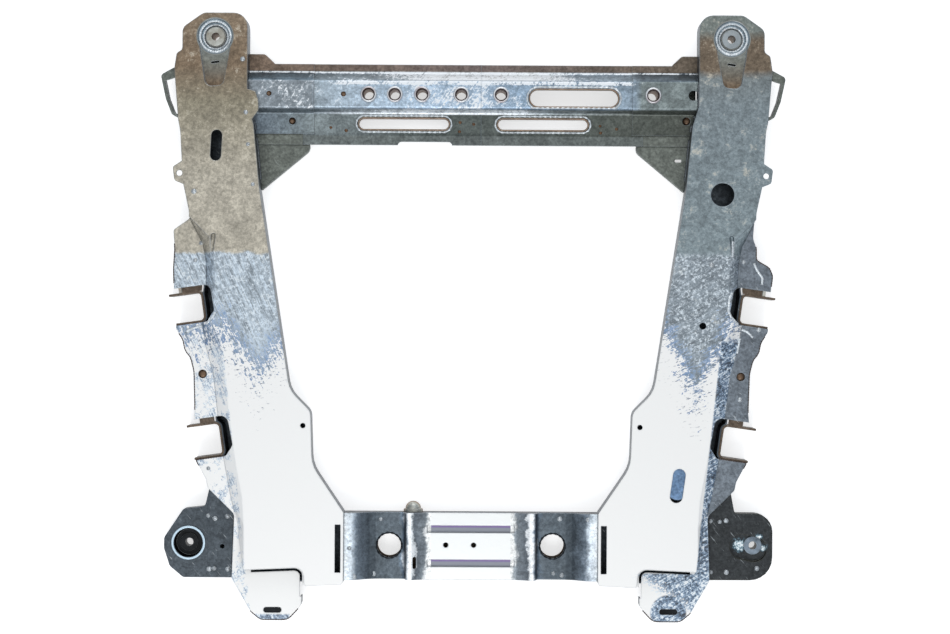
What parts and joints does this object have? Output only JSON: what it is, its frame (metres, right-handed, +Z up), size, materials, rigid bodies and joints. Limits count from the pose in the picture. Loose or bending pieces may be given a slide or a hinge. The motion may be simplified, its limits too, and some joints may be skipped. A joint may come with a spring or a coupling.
{
  "type": "engine subframe",
  "caption": "Welded sheet-steel subframe with side rails, crossmembers and outriggers that carries an engine and the lower control arms under a car.",
  "frame": {"origin": "middle of the frame's box, on the floor under its lower shells", "axes": "+Z up, +Y to the front of the vehicle, +X to the right-hand side seen from above"},
  "size_m": [1.095, 1.064, 0.072],
  "materials": {
    "zinc_sheet": "satin",
    "zinc_sheet_dark": "satin",
    "plain_steel": "satin"
  },
  "bodies": {
    "root": {"rail_upper_left": "zinc_sheet", "rail_upper_right": "zinc_sheet", "rail_lower_left": "zinc_sheet_dark", "rail_lower_right": "zinc_sheet_dark", "rail_shoulder_left": "zinc_sheet", "rail_shoulder_right": "zinc_sheet", "front_crossmember_upper_left": "zinc_sheet", "front_crossmember_upper_right": "zinc_sheet", "front_crossmember_lower_left": "zinc_sheet_dark", "front_crossmember_lower_right": "zinc_sheet_dark", "crossmember_end_left": "zinc_sheet", "crossmember_end_right": "zinc_sheet", "spacer_tubes": "plain_steel", "corner_gusset_left": "zinc_sheet_dark", "corner_gusset_right": "zinc_sheet_dark", "front_mount_sleeve_left": "plain_steel", "front_mount_sleeve_right": "plain_steel", "tie_down_hook_left": "zinc_sheet_dark", "tie_down_hook_right": "zinc_sheet_dark", "arm_bracket_front_left": "zinc_sheet_dark", "arm_bracket_front_right": "zinc_sheet_dark", "arm_bracket_rear_left": "zinc_sheet_dark", "arm_bracket_rear_right": "zinc_sheet_dark", "arm_weld_nuts": "plain_steel", "outrigger_upper_left": "zinc_sheet_dark", "outrigger_upper_right": "zinc_sheet_dark", "outrigger_lower_left": "zinc_sheet_dark", "outrigger_lower_right": "zinc_sheet_dark", "outrigger_neck_left": "zinc_sheet_dark", "rear_mount_cup_left": "zinc_sheet_dark", "rear_mount_sleeve_left": "plain_steel", "rear_mount_sleeve_right": "plain_steel", "rear_crossmember_upper": "zinc_sheet", "rear_crossmember_lower": "zinc_sheet_dark", "rear_crossmember_nut": "plain_steel"}
  },
  "joints": []
}
